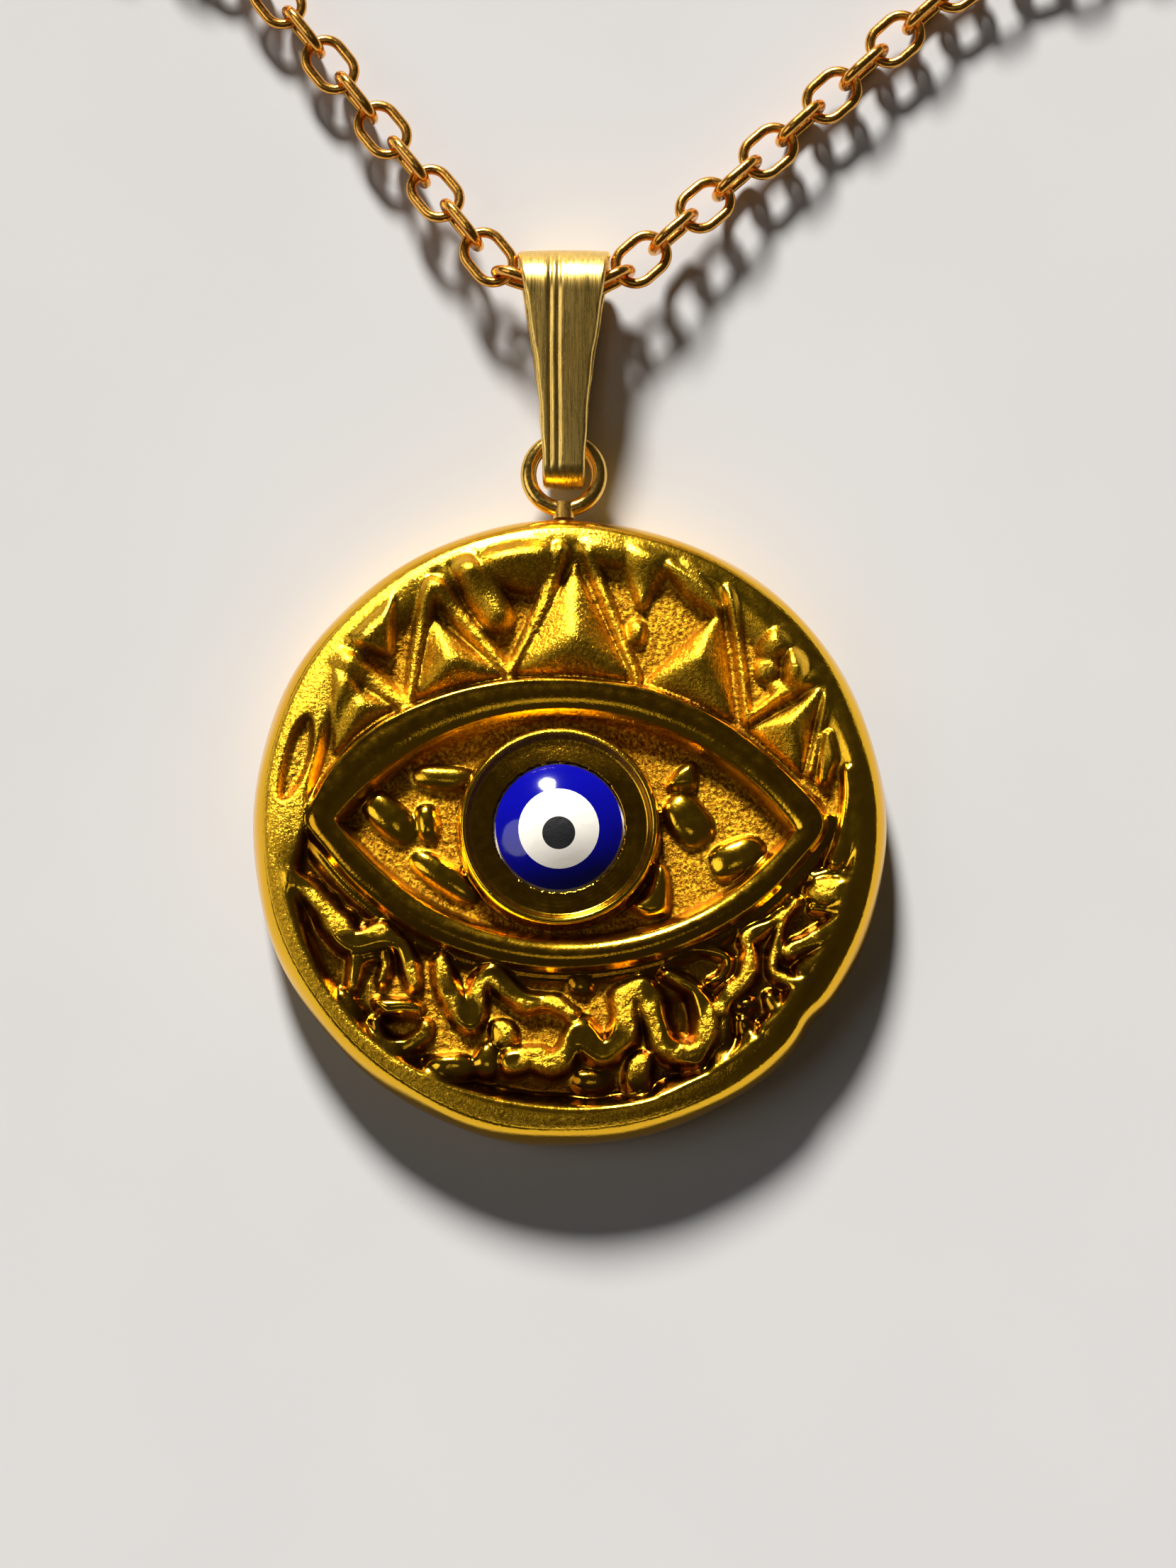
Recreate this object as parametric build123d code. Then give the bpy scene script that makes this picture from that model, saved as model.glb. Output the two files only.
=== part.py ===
from build123d import *
import math
import os

# Evil eye pendant on a cable chain, lying face up. Millimetres.
# Origin: centre of the medallion's flat back face. +Z out of its face, +Y towards the bail.

# ---- medallion casting ----
DISC_R = 12.5
DISC_EDGE_Z = (1.0, 1.9)  # the upright band of the disc's edge
BACK_ROUND = 0.7
RIM_TOP_Z = 2.9
RIM_TOP_R = 11.7
RIM_FLAT = 0.4
FIELD_R = 10.9
FIELD_Z = 2.3
ALMOND_HALF = 10.3
ALMOND_TOP = 5.85
ALMOND_BOTTOM = -5.95
ALMOND_WALL = 1.3
ALMOND_TIP_Y = 0.1
ALMOND_TIP_INSET = 1.25  # how much faster the tips draw in than the arcs
ALMOND_Z = 3.2
EYE_FLOOR_Z = 2.15
IRIS_X = -0.38
IRIS_Y = -0.14
IRIS_R = 4.0
IRIS_RIM_R = 3.5
IRIS_Z = 3.15
IRIS_DISH_Z = 2.85
IRIS_BEVEL = 0.2
RAY_HEIGHT = 0.85
RAY_TAPER = 38
BITE = 0.1  # how far a raised shape is sunk into the surface under it
ABOVE_Z = 4.2  # clear above the casting
# each ray: its apex, then the two corners of its base
RAYS = [
    [(-9.3, 5.7), (-9.2, 3.3), (-7.0, 4.8)],
    [(-5.5, 8.3), (-5.8, 5.4), (-3.0, 6.2)],
    [(0.3, 10.0), (-1.9, 6.4), (2.2, 6.2)],
    [(6.0, 8.3), (3.3, 5.9), (6.4, 4.6)],
    [(9.7, 5.0), (7.6, 3.8), (9.1, 2.5)],
]

# ---- glass bead ----
BEAD_R = 2.48
BEAD_SEAT_R = 2.58
BEAD_FLOOR_Z = 2.0
CEMENT_BED = 0.1
CEMENT_TOP_Z = 2.7
BEAD_WALL_TOP_Z = 2.95
BEAD_TOP_Z = 3.8
WHITE_R = 1.58
WHITE_LENS_R = 2.6
WHITE_DY = -0.24
PUPIL_R = 0.65
PUPIL_LENS_R = 0.68
PUPIL_DY = -0.38

# ---- hanging ring and its solder ----
RING_X = -0.2
RING_Y = 14.3
RING_Z = 1.5
RING_WIRE_R = 0.32
RING_R = 1.41
SOLDER_R = 0.42
SOLDER_LENGTH = 0.8
SOLDER_Y = 12.75

# ---- bail: a strap folded round the ring below and the chain above ----
STRAP = 0.35
BAIL_LOW_Y = 14.8
BAIL_LOW_Z = 1.5
BAIL_LOW_R = 1.1
BAIL_TOP_Y = 21.5
BAIL_TOP_Z = 1.85
BAIL_TOP_R = 1.85
BAIL_WIDTH_TOP = 3.8
BAIL_WIDTH_MID = 2.52
BAIL_WIDTH_LOW = 1.7
BAIL_TAPER_Y = 1.3  # how far above its foot the strap starts to widen
BAIL_MID_Y = 19.6
BAIL_PLAN_MARGIN = 1.0
BAIL_PLAN_Z = (-1.0, 6.0)  # a span that clears the bail above and below
GROOVE_WIDTH = 0.13
GROOVE_DEPTH = 0.1
GROOVE_X = (-0.55, -0.22)

# ---- cable chain ----
WIRE = 0.42
LINK_LENGTH = 2.64
LINK_WIDTH = 1.98
PITCH = 1.74
CHAIN_Z = 1.0
LEFT_HINGE = (-2.682, 22.444)  # where the left strand meets the links inside the bail
CARRIER_HEADINGS = (-18.0, -8.0, 27.0)  # the links inside the bail, left to right
LEFT_HEADING = 128.0
RIGHT_HEADING = 42.4
LEFT_LINKS = 14
RIGHT_LINKS = 15
SETTLE = 9.0  # run over which the chain comes down from the bail to the surface
WALK_STEP = 0.01  # step in which a strand's path is followed
# runs of each strand from the bail's links: (length, turn in degrees)
LEFT_RUNS = [(15.7, 0.0), (4.6, 33.0), (5.5, -1.0)]
RIGHT_RUNS = [(17.5, 0.0), (3.9, -25.0), (6.0, 5.0)]

# ---- coils of the rest of the chain ----
COIL_OUTER = 13.4
COIL_SPACING = 2.04
COIL_TURNS = 3.15
CHAIN_WIDTH = 2.0
COIL_CHANNEL = (20.0, 3.4, 4.0)  # length, width and height of the way in to each coil

# ---- clasp ----
CLASP_THICK = 1.7
CLASP_HOOK_X = 5.3
CLASP_HOOK_R = 2.3
CLASP_HOLE_R = 1.4
CLASP_EYE_R = 1.05
CLASP_EYE_HOLE_R = 0.68
CLASP_EYE_Z = (0.5, 1.2)
CLASP_NECK = (3.3, 4.0)  # the area round the eye that is thinned to the eye's heights
CLASP_ROUND = 0.25
CLASP_CUT_Z = (-1.0, 3.0)  # a span that clears the clasp above and below
CLASP_FROM_COIL = 4.1  # the jump rings' distance from their coils' centres
CLASP_RING_ANGLE = 174.0
CLASP_HEADING = 6.0
END_RING_FROM_COIL = 4.4
END_RING_ANGLE = -11.0
END_RING_Z = 0.6
OPENING = (35.0, 106.0)  # angles of the hook's opening
LEVER_SLOT = (32.0, 146.0)  # angles of the slot that the lever lies in
LEVER_WIDTH = 0.6
LEVER_THICK = 0.8
LEVER_GAP = 0.2
LEVER_BOSS_R = 0.42
LEVER_TAB = (0.8, 1.3)
LEVER_TAB_REACH = 0.25
GATE_INSET = 0.4  # how far the gate's cuts reach inside the hook's hole
GATE_OUTSET = 1.6
RIVET_R = 0.28
RIVET_CLEAR = 0.04
RIVET_SHORT = 0.05
RIVET_ANGLE = 118.0
TAB_ANGLE = 95.0
SPRING_IN_R = 0.33
SPRING_OUT_R = 0.42
SPRING_CLEAR = 0.02
JUMP_RING_R = 1.25
JUMP_WIRE_R = 0.22
JUMP_RING_Z = 1.5
JUMP_RING_LEAN = 0.24  # the ring curves in this much where it passes through the clasp's eye

MID_Z = CLASP_THICK / 2


def save(shape, name):
    """Write one named piece."""
    solids = shape.solids()
    shape = solids[0] if len(solids) == 1 else Compound(children=list(solids))
    export_step(shape, f"parts/{name}.step")
    print(name, len(solids), round(shape.volume, 3))


def polar(x, y, r, angle):
    """The point at a radius and an angle in degrees about (x, y)."""
    a = math.radians(angle)
    return x + r * math.cos(a), y + r * math.sin(a)


def prism(face, low, high):
    """A flat XY face raised into the space between two heights."""
    return extrude(Pos(0, 0, low) * face, high - low)


def almond(inset, low, high):
    """The pointed-oval plate of the eye, inset from its outer edge."""
    half = ALMOND_HALF - ALMOND_TIP_INSET * inset
    left = (-half, ALMOND_TIP_Y)
    right = (half, ALMOND_TIP_Y)
    top = (0, ALMOND_TOP - inset)
    bottom = (0, ALMOND_BOTTOM + inset)
    edge = ThreePointArc(left, top, right) + ThreePointArc(right, bottom, left)
    return prism(make_face(edge), low, high)


def casting():
    """The cast disc: rounded edge, raised rim, almond ridge, iris ring and five rays."""
    profile = Polyline(
        (0, 0),
        (DISC_R - BACK_ROUND, 0),
        (DISC_R, DISC_EDGE_Z[0]),
        (DISC_R, DISC_EDGE_Z[1]),
        (RIM_TOP_R, RIM_TOP_Z),
        (RIM_TOP_R - RIM_FLAT, RIM_TOP_Z),
        (FIELD_R, FIELD_Z),
        (0, FIELD_Z),
        close=True,
    )
    disc = revolve(Plane.XZ * make_face(profile), Axis.Z)
    for ray in RAYS:
        face = make_face(Polyline(*ray, close=True))
        disc += extrude(Pos(0, 0, FIELD_Z - BITE) * face, RAY_HEIGHT, taper=RAY_TAPER)
    disc += almond(0, EYE_FLOOR_Z - BITE, ALMOND_Z)
    disc -= almond(ALMOND_WALL, EYE_FLOOR_Z, ABOVE_Z)
    iris = Polyline(
        (0, EYE_FLOOR_Z - BITE),
        (IRIS_R, EYE_FLOOR_Z - BITE),
        (IRIS_R, IRIS_Z - IRIS_BEVEL),
        (IRIS_R - IRIS_BEVEL, IRIS_Z),
        (IRIS_RIM_R, IRIS_Z),
        (IRIS_RIM_R - IRIS_BEVEL, IRIS_DISH_Z),
        (0, IRIS_DISH_Z),
        close=True,
    )
    disc += Pos(IRIS_X, IRIS_Y, 0) * revolve(Plane.XZ * make_face(iris), Axis.Z)
    seat = Pos(IRIS_X, IRIS_Y, 0) * Circle(BEAD_SEAT_R)
    return disc - prism(seat, BEAD_FLOOR_Z, ABOVE_Z)


def bead():
    """The three fused layers of the domed bead: blue base, white layer and black dot."""
    wall = BEAD_FLOOR_Z + CEMENT_BED
    rise = BEAD_TOP_Z - BEAD_WALL_TOP_Z
    dome_r = (BEAD_R**2 + rise**2) / (2 * rise)
    dome_z = BEAD_TOP_Z - dome_r
    body = Pos(IRIS_X, IRIS_Y, 0) * prism(Circle(BEAD_R), wall, BEAD_TOP_Z)
    body &= Pos(IRIS_X, IRIS_Y, dome_z) * Sphere(dome_r)

    def lens(edge_r, sphere_r, dy):
        edge_z = dome_z + math.sqrt(dome_r**2 - edge_r**2)
        centre_z = edge_z + math.sqrt(sphere_r**2 - edge_r**2)
        return Pos(IRIS_X, IRIS_Y + dy, centre_z) * Sphere(sphere_r)

    white_lens = lens(WHITE_R, WHITE_LENS_R, WHITE_DY)
    pupil_lens = lens(PUPIL_R, PUPIL_LENS_R, PUPIL_DY)
    white = (body & white_lens) - pupil_lens
    return body - white_lens, white, body & pupil_lens


def cement():
    """The cup of cement between the bead and its seat."""
    at = Pos(IRIS_X, IRIS_Y, 0)
    cup = at * prism(Circle(BEAD_SEAT_R), BEAD_FLOOR_Z, CEMENT_TOP_Z)
    return cup - at * prism(Circle(BEAD_R), BEAD_FLOOR_Z + CEMENT_BED, ABOVE_Z)


def strap_side(inset):
    """The strap's outline from the side: a round fold below, a wider one above."""
    low = Pos(BAIL_LOW_Y, BAIL_LOW_Z) * Circle(BAIL_LOW_R - inset)
    top = Pos(BAIL_TOP_Y, BAIL_TOP_Z) * Circle(BAIL_TOP_R - inset)
    return Plane.YZ * make_hull(low.edges() + top.edges())


def bail():
    """The tapered strap, a closed loop from the side, with two grooves down its front leaf."""
    reach = BAIL_WIDTH_TOP
    loop = extrude(strap_side(0), reach, both=True) - extrude(strap_side(STRAP), reach, both=True)
    low_y = BAIL_LOW_Y - BAIL_LOW_R
    top_y = BAIL_TOP_Y + BAIL_TOP_R
    low = BAIL_WIDTH_LOW / 2
    mid = BAIL_WIDTH_MID / 2
    top = BAIL_WIDTH_TOP / 2
    plan = Polyline(
        (-low, low_y - BAIL_PLAN_MARGIN),
        (low, low_y - BAIL_PLAN_MARGIN),
        (low, low_y + BAIL_TAPER_Y),
        (mid, BAIL_MID_Y),
        (top, top_y),
        (top, top_y + BAIL_PLAN_MARGIN),
        (-top, top_y + BAIL_PLAN_MARGIN),
        (-top, top_y),
        (-mid, BAIL_MID_Y),
        (-low, low_y + BAIL_TAPER_Y),
        close=True,
    )
    strap = loop & prism(Pos(RING_X, 0) * make_face(plan), *BAIL_PLAN_Z)
    run = BAIL_TOP_Y - BAIL_LOW_Y
    rise = BAIL_TOP_Z + BAIL_TOP_R - BAIL_LOW_Z - BAIL_LOW_R
    slope = math.degrees(math.atan2(rise, run))
    middle = (BAIL_LOW_Y + BAIL_TOP_Y) / 2
    surface = (BAIL_LOW_Z + BAIL_LOW_R + BAIL_TOP_Z + BAIL_TOP_R) / 2
    for x in GROOVE_X:
        cutter = Box(GROOVE_WIDTH, run, 2 * GROOVE_DEPTH)
        strap -= Pos(x, middle, surface) * Rot(slope, 0, 0) * cutter
    return strap


def link():
    """One oval wire link, lying flat along X about the origin."""
    path = SlotOverall(LINK_LENGTH - WIRE, LINK_WIDTH - WIRE).wire()
    section = Plane(origin=path @ 0, z_dir=path % 0) * Circle(WIRE / 2)
    return sweep(section, path=path)


def chain_height(distance):
    """The chain's height at a distance along it from the bail."""
    t = min(1.0, max(0.0, distance / SETTLE))
    return BAIL_TOP_Z + (CHAIN_Z - BAIL_TOP_Z) * t * t * (3 - 2 * t)


def walk(start, heading, runs, count):
    """Joint points a pitch apart along straight and curved runs, with the runs' end."""
    x, y = start[:2]
    travelled = 0.0
    points = []
    for length, turn in runs:
        for _ in range(round(length / WALK_STEP)):
            x, y = polar(x, y, WALK_STEP, heading)
            heading += turn * WALK_STEP / length
            travelled += WALK_STEP
            if len(points) < count and travelled >= (len(points) + 1) * PITCH - WALK_STEP / 2:
                points.append((x, y, chain_height(travelled)))
    return points, (x, y), heading


def place_link(shape, a, b, on_edge):
    """A link between two joint points, flat or on edge."""
    along = Vector(*b) - Vector(*a)
    middle = (Vector(*a) + Vector(*b)) / 2
    side = Vector(0, 0, 1).cross(along)
    normal = side if on_edge else along.cross(side)
    return Plane(origin=middle, x_dir=along, z_dir=normal).location * shape


def coil(entry, heading, left_turn):
    """The outer shape of one coil, with the channel that its strand comes in by."""
    side = 1 if left_turn else -1
    centre = polar(entry[0], entry[1], COIL_OUTER, heading + 90 * side)
    inner = COIL_OUTER - COIL_TURNS * COIL_SPACING - CHAIN_WIDTH / 2
    at = Pos(centre[0], centre[1], 0)
    ring = at * prism(Circle(COIL_OUTER + CHAIN_WIDTH / 2) - Circle(inner), 0, CHAIN_WIDTH)
    back = polar(entry[0], entry[1], COIL_CHANNEL[0] / 2, heading + 180)
    channel = Pos(back[0], back[1], CHAIN_Z) * Rot(0, 0, heading) * Box(*COIL_CHANNEL)
    return ring - channel, centre


def torus_at(x, y, z, upright, heading):
    """A jump ring, flat or standing along a heading."""
    ring = Torus(JUMP_RING_R, JUMP_WIRE_R)
    if upright:
        ring = Rot(90, 0, 0) * ring
    return Pos(x, y, z) * Rot(0, 0, heading) * ring


def clasp():
    """The lobster clasp along X, its eye at the origin: body, lever, rivet and spring."""
    hook = Pos(CLASP_HOOK_X, 0)
    outer = make_hull((hook * Circle(CLASP_HOOK_R)).edges() + Circle(CLASP_EYE_R).edges())
    body = prism(outer, 0, CLASP_THICK)
    body -= prism(hook * Circle(CLASP_HOLE_R), *CLASP_CUT_Z)
    body = fillet(body.edges().group_by(Axis.Z)[-1], CLASP_ROUND)
    eye_zone = Rectangle(*CLASP_NECK)
    body -= prism(eye_zone, CLASP_CUT_Z[0], CLASP_EYE_Z[0])
    body -= prism(eye_zone, CLASP_EYE_Z[1], CLASP_CUT_Z[1])
    body -= prism(Circle(CLASP_EYE_HOLE_R), *CLASP_CUT_Z)

    def sector(r0, r1, a0, a1):
        start = [polar(0, 0, r, a0) for r in (r0, r1)]
        end = [polar(0, 0, r, a1) for r in (r1, r0)]
        middle = (a0 + a1) / 2
        edge = Line(start[0], start[1])
        edge += ThreePointArc(start[1], polar(0, 0, r1, middle), end[0])
        edge += Line(end[0], end[1])
        edge += ThreePointArc(end[1], polar(0, 0, r0, middle), start[0])
        return hook * make_face(edge)

    inside = CLASP_HOLE_R - GATE_INSET
    outside = CLASP_HOOK_R + GATE_OUTSET
    body -= prism(sector(inside, outside, *OPENING), *CLASP_CUT_Z)
    rivet_x, rivet_y = polar(CLASP_HOOK_X, 0, (CLASP_HOLE_R + CLASP_HOOK_R) / 2, RIVET_ANGLE)
    rivet_at = Pos(rivet_x, rivet_y)
    lever_low = MID_Z - LEVER_THICK / 2
    lever_high = MID_Z + LEVER_THICK / 2
    slot = sector(inside, outside, *LEVER_SLOT)
    body -= prism(slot, lever_low - LEVER_GAP, lever_high + LEVER_GAP)
    body -= prism(rivet_at * Circle(RIVET_R), *CLASP_CUT_Z)
    tip_x, tip_y = polar(CLASP_HOOK_X, 0, inside, LEVER_SLOT[0])
    run = math.hypot(tip_x - rivet_x, tip_y - rivet_y)
    lean = math.degrees(math.atan2(tip_y - rivet_y, tip_x - rivet_x))
    bar_at = Pos((rivet_x + tip_x) / 2, (rivet_y + tip_y) / 2) * Rot(0, 0, lean)
    arm = bar_at * SlotCenterToCenter(run, LEVER_WIDTH)
    arm += rivet_at * Circle(LEVER_BOSS_R)
    tab_x, tab_y = polar(CLASP_HOOK_X, 0, CLASP_HOOK_R + LEVER_TAB_REACH, TAB_ANGLE)
    arm += Pos(tab_x, tab_y) * Rot(0, 0, TAB_ANGLE - 90) * Rectangle(*LEVER_TAB)
    lever = prism(arm, lever_low, lever_high)
    lever -= prism(rivet_at * Circle(RIVET_R + RIVET_CLEAR), *CLASP_CUT_Z)
    rivet = prism(rivet_at * Circle(RIVET_R), RIVET_SHORT, CLASP_THICK - RIVET_SHORT)
    spring_ring = rivet_at * (Circle(SPRING_OUT_R) - Circle(SPRING_IN_R))
    spring_low = lever_low - LEVER_GAP + SPRING_CLEAR
    spring = prism(spring_ring, spring_low, lever_low - SPRING_CLEAR)
    return body, lever, rivet, spring, (rivet_x, rivet_y)


os.makedirs("parts", exist_ok=True)

ring = Pos(RING_X, RING_Y, RING_Z) * Torus(RING_R, RING_WIRE_R)
disc = casting() - ring
save(disc, "medallion_casting")
save(ring, "hanging_ring")
solder = Pos(RING_X, SOLDER_Y, RING_Z) * Rot(90, 0, 0) * Cylinder(SOLDER_R, SOLDER_LENGTH)
save(solder - ring - disc, "ring_solder")
save(cement(), "eye_cement")
for name, piece in zip(("eye_base_blue", "eye_white", "eye_pupil"), bead()):
    save(piece, name)
save(bail(), "bail_strap")

# the links inside the bail, from the left strand's hinge to the right one's
carrier_joints = [(*LEFT_HINGE, BAIL_TOP_Z)]
for heading in CARRIER_HEADINGS:
    previous = carrier_joints[-1]
    carrier_joints.append((*polar(previous[0], previous[1], PITCH, heading), BAIL_TOP_Z))
one_link = link()
for i in range(len(CARRIER_HEADINGS)):
    piece = place_link(one_link, carrier_joints[i], carrier_joints[i + 1], i != 1)
    save(piece, f"link_bail_{i + 1}")

strands = (
    ("left", LEFT_HEADING, LEFT_RUNS, LEFT_LINKS, carrier_joints[0], False),
    ("right", RIGHT_HEADING, RIGHT_RUNS, RIGHT_LINKS, carrier_joints[-1], True),
)
centres = {}
for side, heading, runs, count, joint, left_turn in strands:
    points, entry, entry_heading = walk(joint, heading, runs, count)
    points = [joint] + points
    for i in range(count):
        piece = place_link(one_link, points[i], points[i + 1], i % 2 == 1)
        save(piece, f"link_{side}_{i + 1:02d}")
    solid, centres[side] = coil(entry, entry_heading, left_turn)
    save(solid, f"chain_coil_{side}")
    print(side, "last joint", points[-1], "entry", entry, entry_heading, "centre", centres[side])

ring_x, ring_y = polar(*centres["left"], CLASP_FROM_COIL, CLASP_RING_ANGLE)
save(torus_at(ring_x, ring_y, JUMP_RING_Z, True, CLASP_HEADING), "clasp_ring")
eye_x, eye_y = polar(ring_x, ring_y, JUMP_RING_R - JUMP_RING_LEAN, CLASP_HEADING)
clasp_at = Pos(eye_x, eye_y) * Rot(0, 0, CLASP_HEADING)
*clasp_pieces, rivet_local = clasp()
for name, piece in zip(("clasp_body", "clasp_lever", "clasp_rivet", "clasp_spring"), clasp_pieces):
    save(clasp_at * piece, name)
rivet_at = polar(eye_x, eye_y, rivet_local[0], CLASP_HEADING)
rivet_at = polar(*rivet_at, rivet_local[1], CLASP_HEADING + 90)
end_x, end_y = polar(*centres["right"], END_RING_FROM_COIL, END_RING_ANGLE)
save(torus_at(end_x, end_y, END_RING_Z, False, 0), "end_ring")
print("clasp eye", eye_x, eye_y, "rivet", rivet_at, "end ring", end_x, end_y)
print("left hinge", carrier_joints[0], "right", carrier_joints[-1])
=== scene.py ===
import cmath
import math

import bpy
import numpy as np
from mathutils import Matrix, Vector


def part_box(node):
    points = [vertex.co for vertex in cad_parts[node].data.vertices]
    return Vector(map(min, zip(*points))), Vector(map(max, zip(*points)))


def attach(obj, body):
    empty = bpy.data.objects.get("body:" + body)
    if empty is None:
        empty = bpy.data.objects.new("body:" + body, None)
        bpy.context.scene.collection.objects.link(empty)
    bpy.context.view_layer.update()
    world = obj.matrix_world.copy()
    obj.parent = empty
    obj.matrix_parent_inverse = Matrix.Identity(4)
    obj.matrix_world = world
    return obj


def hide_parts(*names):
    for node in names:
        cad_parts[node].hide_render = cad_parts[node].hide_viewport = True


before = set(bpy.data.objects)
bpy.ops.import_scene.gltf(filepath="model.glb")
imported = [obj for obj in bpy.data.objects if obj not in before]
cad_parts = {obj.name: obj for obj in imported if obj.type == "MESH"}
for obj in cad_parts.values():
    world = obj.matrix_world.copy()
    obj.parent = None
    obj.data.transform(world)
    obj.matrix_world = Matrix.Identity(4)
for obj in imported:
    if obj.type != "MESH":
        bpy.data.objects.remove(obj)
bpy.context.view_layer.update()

MM = 0.001
RNG = np.random.default_rng(7)

# ---------------------------------------------------------------- camera
# The view takes in the medallion, the bail and the first links of both strands.
VIEW_CENTRE = (0.76 * MM, 1.73 * MM, 2.0 * MM)
VIEW_SPAN = 61.6 * MM
VIEW_DISTANCE = 230 * MM
VIEW_ELEVATION = math.radians(80)
CLIP = (0.01, 10)


def make_camera():
    """A camera above the medallion, leaning a little towards its lower edge."""
    data = bpy.data.cameras.new("camera")
    data.angle = 2 * math.atan(VIEW_SPAN / 2 / VIEW_DISTANCE)
    data.clip_start, data.clip_end = CLIP
    camera = bpy.data.objects.new("camera", data)
    bpy.context.collection.objects.link(camera)
    back = VIEW_DISTANCE * math.cos(VIEW_ELEVATION)
    up = VIEW_DISTANCE * math.sin(VIEW_ELEVATION)
    camera.location = (VIEW_CENTRE[0], VIEW_CENTRE[1] - back, VIEW_CENTRE[2] + up)
    camera.rotation_euler = (math.pi / 2 - VIEW_ELEVATION, 0, 0)
    bpy.context.scene.camera = camera


# ---------------------------------------------------------------- node helpers
class Nodes:
    """A material and short calls that add nodes to it."""

    def __init__(self, name):
        self.material = bpy.data.materials.new(name)
        self.material.use_nodes = True
        self.tree = self.material.node_tree
        self.shader = self.tree.nodes["Principled BSDF"]

    def add(self, kind, inputs=None, **settings):
        node = self.tree.nodes.new("ShaderNode" + kind)
        for key, value in settings.items():
            setattr(node, key, value)
        for key, value in (inputs or {}).items():
            self.put(node.inputs[key], value)
        return node

    def put(self, socket, value):
        if isinstance(value, bpy.types.NodeSocket):
            self.tree.links.new(value, socket)
        else:
            socket.default_value = value

    def place(self):
        return self.add("TexCoord").outputs["Object"]

    def noise(self, scale, detail=2.0, rough=0.5, vector=None):
        inputs = {"Scale": scale, "Detail": detail, "Roughness": rough}
        inputs["Vector"] = vector or self.place()
        return self.add("TexNoise", inputs).outputs["Fac"]

    def math(self, operation, a, b=0.0):
        node = self.add("Math", operation=operation)
        self.put(node.inputs[0], a)
        self.put(node.inputs[1], b)
        return node.outputs[0]

    def span(self, value, low, high, to_low, to_high):
        inputs = {"Value": value, "From Min": low, "From Max": high}
        inputs.update({"To Min": to_low, "To Max": to_high})
        return self.add("MapRange", inputs).outputs["Result"]

    def mix(self, factor, a, b):
        node = self.add("Mix", data_type="RGBA")
        self.put(node.inputs["Factor"], factor)
        self.put(node.inputs[6], a)
        self.put(node.inputs[7], b)
        return node.outputs[2]

    def bump(self, height, distance, strength=1.0, normal=None):
        inputs = {"Height": height, "Distance": distance, "Strength": strength}
        if normal:
            inputs["Normal"] = normal
        return self.add("Bump", inputs).outputs["Normal"]

    def surface(self, **inputs):
        for key, value in inputs.items():
            self.put(self.shader.inputs[key.replace("_", " ")], value)
        return self.material


# ---------------------------------------------------------------- materials
# Noise scales are per metre, and bump distances are in metres.
# The cast gold's two tints, the dark red-brown of its painted shade, its sand and the sand's specks.
GOLD_LIGHT = (1.0, 0.60, 0.03, 1)
GOLD_DEEP = (0.92, 0.48, 0.02, 1)
GOLD_PAINTED_SHADE = (0.16, 0.032, 0.002, 1)
GOLD_SAND = (0.50, 0.28, 0.008, 1)
GOLD_SPECK = (0.17, 0.055, 0.002, 1)


def cast_gold():
    """Polished cast gold plate, with painted shade that makes it darker and redder in the hollows, and
    sandy where marked.
    """
    n = Nodes("cast_gold")
    sand = n.add("Attribute", attribute_name="sand").outputs["Fac"]
    painted_shade = n.add("Attribute", attribute_name="painted_shade").outputs["Fac"]
    blotch = n.noise(260, 4, 0.6)
    fine = n.noise(2600, 3, 0.6)
    grain = n.noise(9000, 2, 0.6)
    bright = n.mix(blotch, GOLD_LIGHT, GOLD_DEEP)
    # painted shade: the stored mark pulls the colour towards a dark red-brown
    colour = n.mix(n.math("MULTIPLY", painted_shade, 0.92), bright, GOLD_PAINTED_SHADE)
    sandy = n.math("MULTIPLY", n.math("POWER", sand, 2.0), 0.4)
    colour = n.mix(sandy, colour, GOLD_SAND)
    speck = n.math("MULTIPLY", n.span(n.noise(7000, 2, 0.6), 0.42, 0.64, 0.92, 0.0), sand)
    colour = n.mix(speck, colour, GOLD_SPECK)
    rough = n.span(fine, 0.3, 0.75, 0.10, 0.19)
    rough = n.math("ADD", rough, n.math("MULTIPLY", sand, 0.27))
    normal = n.bump(grain, 0.00002, 0.35)
    coarse = n.math("MULTIPLY", n.noise(7000, 3, 0.75), sand)
    normal = n.bump(coarse, 0.00011, 1.0, normal)
    return n.surface(Base_Color=colour, Metallic=1.0, Roughness=rough, Normal=normal)


def wire_gold(name, light, dark, rough_low, rough_high):
    """Drawn wire or sheet plated in gold, with fine wear."""
    n = Nodes(name)
    blotch = n.noise(700, 3, 0.6)
    scratch = n.noise(6000, 3, 0.7)
    colour = n.mix(blotch, light, dark)
    rough = n.span(scratch, 0.3, 0.7, rough_low, rough_high)
    normal = n.bump(scratch, 0.000015, 0.5)
    return n.surface(Base_Color=colour, Metallic=1.0, Roughness=rough, Normal=normal)


def bail_gold():
    """Pale gold sheet, brushed along the strap."""
    n = Nodes("bail_gold")
    stretch = n.add("Mapping", {"Vector": n.place(), "Scale": (9000, 350, 2500)}).outputs[0]
    brushed = n.noise(1.0, 4, 0.7, stretch)
    blotch = n.noise(500, 3, 0.5)
    colour = n.mix(blotch, (1.0, 0.70, 0.20, 1), (0.88, 0.54, 0.11, 1))
    rough = n.span(brushed, 0.3, 0.7, 0.20, 0.36)
    normal = n.bump(brushed, 0.00003, 0.6)
    return n.surface(Base_Color=colour, Metallic=1.0, Roughness=rough, Normal=normal)


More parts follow.
